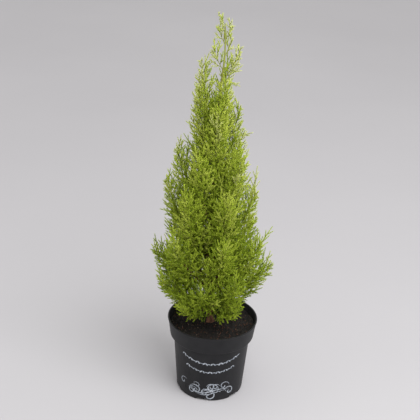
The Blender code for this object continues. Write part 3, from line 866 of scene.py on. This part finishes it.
def crown_share(point):
    """How far out a point stands between the crown's middle and its edge."""
    middle = smooth_read(crown_middle, point[2])
    reach = smooth_read(crown_reach, point[2])[0]
    return float(np.hypot(*(point[:2] - middle)) / reach)


shoots = []
rng = np.random.default_rng(11)
for stem in stems:
    spacing = shoot_spacing * (1.0 if stem.size > 0.5 else top_spacing)
    bare = stem.length * (bare_bough_share * stem.bough_share if stem.bough_share else bare_share)
    turn = rng.uniform(0.0, math.tau)
    shoots.append((stem.line[9 if stem.bough_share else 3:24], True))
    for place in np.arange(bare + 0.004 * stem.size, stem.length - 0.0015, spacing):
        turn += shoot_turn
        share = (place - bare) / (stem.length - bare)
        base = stem.at(place)
        along = stem.heading(place)
        first, second = across_of(along[None, :])
        out = math.cos(turn) * first[0] + math.sin(turn) * second[0]
        angle = shoot_angle * rng.uniform(0.85, 1.15)
        heading = math.cos(angle) * along + math.sin(angle) * out
        length = stem.size * (shoot_short + shoot_long * (1 - share) ** 0.7)
        length *= rng.uniform(0.75, 1.12)
        line = curved(base, heading, length, shoot_lift, 8)
        edge = max(crown_least, crown_share(stem.tip))
        for attempt in range(5):
            room = smooth_read(crown_reach, line[-1, 2])[0]
            inside = solid_box[0][1] + box_margin < line[-1, 1] < solid_box[1][1] - box_margin
            inside = inside and line[-1, 2] < solid_box[1][2] - box_margin
            if inside and crown_share(line[-1]) <= edge + crown_play / room:
                break
            length *= shortened
            line = curved(base, heading, length, shoot_lift, 8)
        beside = [trunk_middle(min(point[2], trunk_line[-1][0])) for point in line[3:]]
        nearness = min(np.linalg.norm(point[:2] - spot[:2]) for point, spot in zip(line[3:], beside))
        if nearness < trunk_clearance and stem.root[2] < 0.42:
            continue
        line[:, 2] = np.maximum(line[:, 2], least_height(line))
        shoots.append((line, False))
for target in lone_tips:
    nearest = min(stems, key=lambda stem: np.linalg.norm(stem.line - target, axis=1).min())
    base = nearest.line[int(np.argmin(np.linalg.norm(nearest.line - target, axis=1))) - 3]
    t = np.linspace(0.0, 1.0, 10)[:, None]
    line = base + t * (target - base) + 0.12 * np.linalg.norm(target - base) * t * (1 - t) * upward
    line[:, 2] = np.maximum(line[:, 2], least_height(line))
    shoots.append((line, False))


needle_sites = []
twig_runs = []
for line, is_stem in shoots:
    reach = reach_along(line)
    length = reach[-1]
    outerness = crown_share(line[-1])
    # Painted light: each run's green grows paler with height and towards the crown's edge, on top of the
    # plant's own lime tips.
    rise = (line[-1, 2] - 0.10) / 0.40
    brightness = least_brightness + painted_light_up * rise + tips_and_painted_light_out * outerness
    brightness += rng.normal(0.0, brightness_play)
    twigs = [] if is_stem else [(line, shoot_radius)]
    turn = rng.uniform(0.0, math.tau)
    runs = [(line, length, bare_stem_share if is_stem else bare_shoot_share)]
    if not is_stem:
        for place in np.arange(twig_foot, twigged_share * length, twig_spacing):
            turn += shoot_turn
            share = place / length
            base = places_on(line, reach, place)
            step = min(int(np.searchsorted(reach, place)), len(line) - 1)
            along = unit(line[step] - line[step - 1])
            first, second = across_of(along[None, :])
            out = math.cos(turn) * first[0] + math.sin(turn) * second[0]
            angle = twig_angle * rng.uniform(0.85, 1.15)
            heading = math.cos(angle) * along + math.sin(angle) * out
            long = twig_foot + twig_growth * (1 - share) * length * rng.uniform(0.7, 1.1)
            long = min(long, twig_longest)
            twig = curved(base, heading, long, twig_lift, 3)
            twig[:, 2] = np.maximum(twig[:, 2], least_height(twig))
            twigs.append((twig, twig_radius))
            runs.append((twig, long, 0.0))
    twig_runs += twigs
    for run, long, bare in runs:
        places = np.arange(long * bare + 0.0004, long, needle_spacing)
        if not len(places):
            continue
        run_reach = reach_along(run)
        bases = places_on(run, run_reach, places)
        step = np.clip(np.searchsorted(run_reach, places), 1, len(run) - 1)
        along = run[step] - run[step - 1]
        along /= np.linalg.norm(along, axis=1)[:, None]
        turns = rng.uniform(0.0, math.tau) + needle_turn * np.arange(len(places))
        block = np.column_stack([bases, along, turns, places / long, np.full(len(places), brightness)])
        needle_sites.append(block)
needle_sites = np.concatenate(needle_sites)


def needles(sites, noise):
    """Closed three-sided slivers, one for each site, as points and triangles."""
    base = sites[:, 0:3]
    along = sites[:, 3:6]
    first, second = across_of(along)
    out = np.cos(sites[:, 6:7]) * first + np.sin(sites[:, 6:7]) * second
    wide = np.cross(along, out)
    share = sites[:, 7:8]
    angle = needle_angle * (1.1 - 0.55 * share) * noise.uniform(0.8, 1.2, (len(sites), 1))
    heading = np.cos(angle) * along + np.sin(angle) * out
    length = needle_length * (1.0 - 0.30 * share) * noise.uniform(0.8, 1.15, (len(sites), 1))
    tip = base + length * heading
    tip[:, 2] = np.maximum(tip[:, 2], least_height(tip) - 0.0005)
    lift = np.cross(wide, heading)
    corners = np.stack([
        base - 0.5 * needle_width * wide,
        base + 0.5 * needle_width * wide,
        base + 0.35 * length * heading + needle_depth * lift,
        tip,
    ], axis=1)
    count = len(sites)
    turns = np.array([(0, 1, 2), (0, 2, 3), (2, 1, 3), (1, 0, 3)])
    triangles = (turns[None, :, :] + 4 * np.arange(count)[:, None, None]).reshape(-1, 3)
    return corners.reshape(-1, 3), triangles


foliage_nodes = [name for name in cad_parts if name.startswith("foliage_")]
# The pale greens high and outside carry painted light, and the deep greens low and inside carry painted
# shade.
levels = np.clip(np.floor(needle_sites[:, 8] * len(greens)), 0, len(greens) - 1).astype(int)
most_needles = 48000
for level, (name, colour) in enumerate(greens):
    needle_green = new_material("needles_" + name, 0.65)
    shader_of(needle_green).inputs["Specular IOR Level"].default_value = 0.25
    shader_of(needle_green).inputs["Base Color"].default_value = (*colour, 1.0)
    mine = needle_sites[levels == level]
    for part, start in enumerate(range(0, len(mine), most_needles)):
        noise = np.random.default_rng(100 * level + part)
        points, triangles = needles(mine[start:start + most_needles], noise)
        joined(f"needles_{name}_{part + 1}", points, triangles, needle_green, foliage_nodes)

# The green shoots and twigs that carry the needles are smooth, thin and of one make with them.
shoot_green = new_material("young_shoots", 0.6)
mottled(shoot_green, 140.0, (0.120, 0.130, 0.028), (0.300, 0.330, 0.060))
tube_points = []
tube_triangles = []
first_point = 0
for line, radius in twig_runs:
    rings = 4 if len(line) > 4 else 2
    picks = np.linspace(0, len(line) - 1, rings).astype(int)
    along = unit(line[-1] - line[0])
    first, second = across_of(along[None, :])
    taper = np.linspace(1.0, 0.45, rings)
    for ring, pick in enumerate(picks):
        for corner in range(3):
            turn = math.tau * corner / 3
            aside = math.cos(turn) * first[0] + math.sin(turn) * second[0]
            tube_points.append(line[pick] + radius * taper[ring] * aside)
    for ring in range(rings - 1):
        low = first_point + 3 * ring
        for corner in range(3):
            after = (corner + 1) % 3
            tube_triangles.append((low + corner, low + after, low + 3 + after))
            tube_triangles.append((low + corner, low + 3 + after, low + 3 + corner))
    tube_triangles.append((first_point, first_point + 2, first_point + 1))
    end = first_point + 3 * (rings - 1)
    tube_triangles.append((end, end + 1, end + 2))
    first_point += 3 * rings
tube_points = np.array(tube_points)
tube_triangles = np.array(tube_triangles)
most_triangles = 190000
for part, start in enumerate(range(0, len(tube_triangles), most_triangles)):
    mine = tube_triangles[start:start + most_triangles]
    used, inverse = np.unique(mine, return_inverse=True)
    mine = inverse.reshape(-1, 3)
    joined(f"shoots_{part + 1}", tube_points[used], mine, shoot_green, foliage_nodes)

# The plant stands on a wide, pale and even paper floor, lit by a large soft light from above and in
# front, and by an even fill from all round.
floor_size = 16.0
studio = new_material("studio_paper", 0.9)
mottled(studio, 0.9, (0.540, 0.530, 0.550), (0.575, 0.565, 0.585))
floor_mesh = bpy.data.meshes.new("studio_floor")
half = 0.5 * floor_size
floor_corners = [(-half, -half, 0.0), (half, -half, 0.0), (half, half, 0.0), (-half, half, 0.0)]
floor_mesh.from_pydata(floor_corners, [], [(0, 1, 2, 3)])
floor = bpy.data.objects.new("studio_floor", floor_mesh)
bpy.context.scene.collection.objects.link(floor)
floor_mesh.materials.append(studio)

fill_strength = 0.80
key_energy = 19.0
key_place = (0.55, -0.75, 1.45)
key_aim = (0.0, 0.0, 0.30)
world = bpy.data.worlds.new("studio_fill")
bpy.context.scene.world = world
world.use_nodes = True
world.node_tree.nodes["Background"].inputs["Color"].default_value = (1.0, 0.99, 0.98, 1.0)
world.node_tree.nodes["Background"].inputs["Strength"].default_value = fill_strength
key = bpy.data.lights.new("key_softbox", "AREA")
key.shape = "RECTANGLE"
key.size = 1.2
key.size_y = 1.0
key.energy = key_energy
key_object = bpy.data.objects.new("key_softbox", key)
key_object.location = key_place
aim = Vector(key_aim) - key_object.location
key_object.rotation_euler = aim.to_track_quat("-Z", "Y").to_euler()
bpy.context.scene.collection.objects.link(key_object)

# The camera stands a metre in front of the plant and looks down at it, rolled a little to one side.
camera_place = (-0.0100, -1.089, 0.7584)
pitch = math.radians(24.5)
roll = math.radians(2.64)
camera_data = bpy.data.cameras.new("camera")
camera_data.sensor_width = 36.0
camera_data.lens = 80.4
camera_data.clip_start = 0.01
camera = bpy.data.objects.new("camera", camera_data)
bpy.context.scene.collection.objects.link(camera)
forward = np.array((0.0, math.cos(pitch), -math.sin(pitch)))
level_up = np.array((0.0, math.sin(pitch), math.cos(pitch)))
level_right = np.array((1.0, 0.0, 0.0))
right = math.cos(roll) * level_right + math.sin(roll) * level_up
up = math.cos(roll) * level_up - math.sin(roll) * level_right
axes = Matrix([right, up, -forward]).transposed().to_4x4()
camera.matrix_world = Matrix.Translation(camera_place) @ axes
bpy.context.scene.camera = camera
bpy.context.scene.view_settings.view_transform = "Standard"
